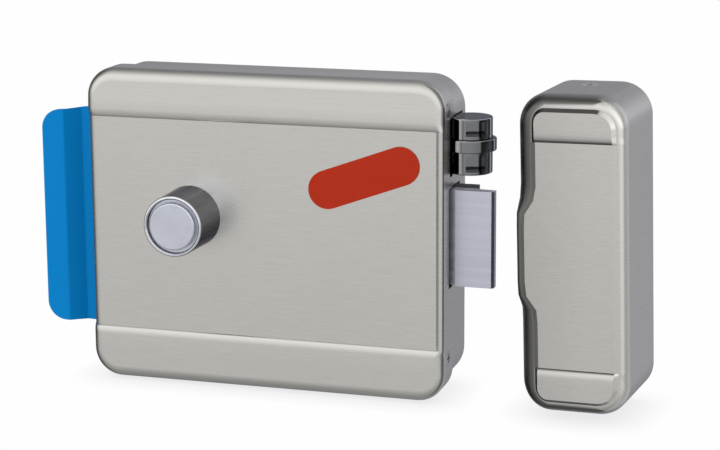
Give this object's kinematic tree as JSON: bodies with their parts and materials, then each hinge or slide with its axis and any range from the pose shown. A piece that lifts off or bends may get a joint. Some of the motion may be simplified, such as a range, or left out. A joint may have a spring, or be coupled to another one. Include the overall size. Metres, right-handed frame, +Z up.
{
  "type": "electric rim lock",
  "caption": "Surface-mounted electric rim lock with push button, spring bolt, roller cocking latch, side pull flange and separate strike box.",
  "frame": {"origin": "middle of the lock case's flat back, where it meets the door", "axes": "+Z up, front with the push button faces -Y, bolt and strike towards +X"},
  "size_m": [0.2065, 0.0455, 0.1046],
  "materials": {
    "brushed_shell": "satin, horizontal brushing",
    "case_steel": "satin",
    "blue_paint": "semi gloss",
    "chrome": "polished",
    "satin_cap": "satin",
    "bolt_steel": "ground",
    "black_nylon": "matte",
    "zinc_steel": "zinc plated",
    "spring_steel": "bright wire",
    "screw_steel": "nickel plated",
    "copper_wire": "enamelled",
    "white_nylon": "satin",
    "cam_brass": "satin",
    "wire_insulation": "satin",
    "black_rubber": "matte",
    "red_label": "gloss"
  },
  "bodies": {
    "case": {"front_cover": "brushed_shell", "rear_case": "case_steel", "cover_screws": "screw_steel", "pull_flange": "blue_paint", "flange_screws": "screw_steel", "bolt_spring": "spring_steel", "bolt_guide": "zinc_steel", "guide_screws": "screw_steel", "latch_guide": "zinc_steel", "cocking_spring": "spring_steel", "button_collar": "chrome", "collar_nut": "zinc_steel", "button_spring": "spring_steel", "slide_posts": "zinc_steel", "sear_pin": "screw_steel", "sear_spring": "spring_steel", "solenoid_frame": "zinc_steel", "solenoid_bobbin": "white_nylon", "solenoid_winding": "copper_wire", "pole_core": "zinc_steel", "armature_spring": "spring_steel", "solenoid_screws": "screw_steel", "cam_bush": "cam_brass", "terminal_block": "white_nylon", "terminal_screws": "cam_brass", "coil_leads": "wire_insulation", "cable_grommet": "black_rubber", "label_plate": "red_label"},
    "bolt": {"latch_bolt": "bolt_steel", "bolt_slide_inserts": "black_nylon", "bolt_tail": "zinc_steel", "tail_rivets": "zinc_steel", "spring_rod": "zinc_steel"},
    "latch": {"cocking_latch": "chrome", "roller_pin": "screw_steel"},
    "roller": {"cocking_roller": "chrome"},
    "button": {"button_cap": "satin_cap", "button_stem": "zinc_steel", "stem_clip": "spring_steel"},
    "slide": {"release_slide": "zinc_steel"},
    "sear": {"sear_lever": "zinc_steel"},
    "plunger": {"armature": "zinc_steel", "push_rod": "cam_brass"},
    "cam": {"key_cam": "zinc_steel"},
    "strike": {"strike_box": "brushed_shell", "strike_base": "case_steel", "strike_keeper": "zinc_steel", "strike_screws": "screw_steel"}
  },
  "joints": [
    {"name": "bolt_slide", "type": "slide", "parent": "case", "child": "bolt", "axis": [-1, 0, 0], "range_m": [0, 0.0145], "stiffness_N_per_m": 250, "deforming": ["bolt_spring"]},
    {"name": "latch_slide", "type": "slide", "parent": "case", "child": "latch", "axis": [-1, 0, 0], "range_m": [0, 0.009], "stiffness_N_per_m": 600, "deforming": ["cocking_spring"]},
    {"name": "roller_spin", "type": "hinge", "parent": "latch", "child": "roller", "pos_m": [0.0656, -0.013, 0.03055], "axis": [0, 0, 1], "continuous": true},
    {"name": "button_press", "type": "slide", "parent": "case", "child": "button", "axis": [0, 1, 0], "range_m": [0, 0.004], "stiffness_N_per_m": 400, "deforming": ["button_spring"]},
    {"name": "release_travel", "type": "slide", "parent": "case", "child": "slide", "axis": [1, 0, 0], "range_m": [0, 0.002]},
    {"name": "plunger_travel", "type": "slide", "parent": "case", "child": "plunger", "axis": [1, 0, 0], "range_m": [0, 0.002], "deforming": ["armature_spring"]},
    {"name": "sear_tilt", "type": "hinge", "parent": "case", "child": "sear", "pos_m": [0.006, -0.0152, 0.044], "axis": [0, -1, 0], "range_deg": [0, 12.89]},
    {"name": "cam_turn", "type": "hinge", "parent": "case", "child": "cam", "pos_m": [-0.0248, -0.003, 0.0045], "axis": [0, 1, 0], "range_deg": [0, 67.8]},
    {"name": "strike_slide", "type": "slide", "parent": "case", "child": "strike", "axis": [1, 0, 0], "range_m": [-0.018, 0.04]}
  ],
  "couplings": [
    {"joint": "release_travel", "follows": "button_press", "ratio": 0.5},
    {"joint": "plunger_travel", "follows": "button_press", "ratio": 0.5},
    {"joint": "sear_tilt", "follows": "button_press", "rad_per_m": 56.25},
    {"joint": "cam_turn", "follows": "bolt_slide", "rad_per_m": 81.6}
  ]
}
